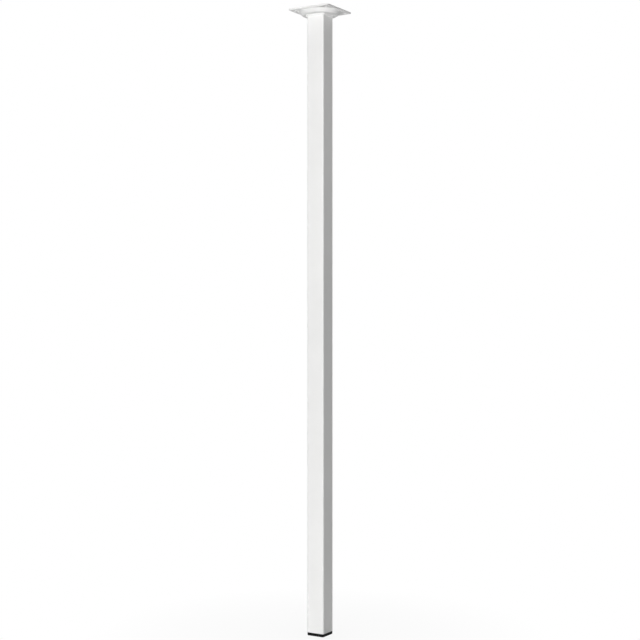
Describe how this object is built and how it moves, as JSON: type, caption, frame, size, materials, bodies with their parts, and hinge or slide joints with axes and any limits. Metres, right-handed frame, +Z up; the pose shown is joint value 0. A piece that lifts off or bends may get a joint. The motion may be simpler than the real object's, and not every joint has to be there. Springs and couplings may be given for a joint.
{
  "type": "square table leg",
  "caption": "Straight square steel table leg with a small square screw-on plate on top, domed round where the tube is welded on, and a flat plastic foot plug.",
  "frame": {"origin": "middle of the foot's sole, where the leg stands on the floor", "axes": "+Z up along the tube to the mounting plate, X and Y square to the tube's faces"},
  "size_m": [0.06, 0.06, 0.82],
  "materials": {
    "white_powder_coat": "white semi-gloss powder coat on steel, with a fine orange peel",
    "black_plastic": "black moulded polyethylene, fine matt texture"
  },
  "bodies": {
    "root": {"mounting_plate": "white_powder_coat", "square_tube": "white_powder_coat", "weld_bead": "white_powder_coat", "foot_plug": "black_plastic"}
  },
  "joints": []
}
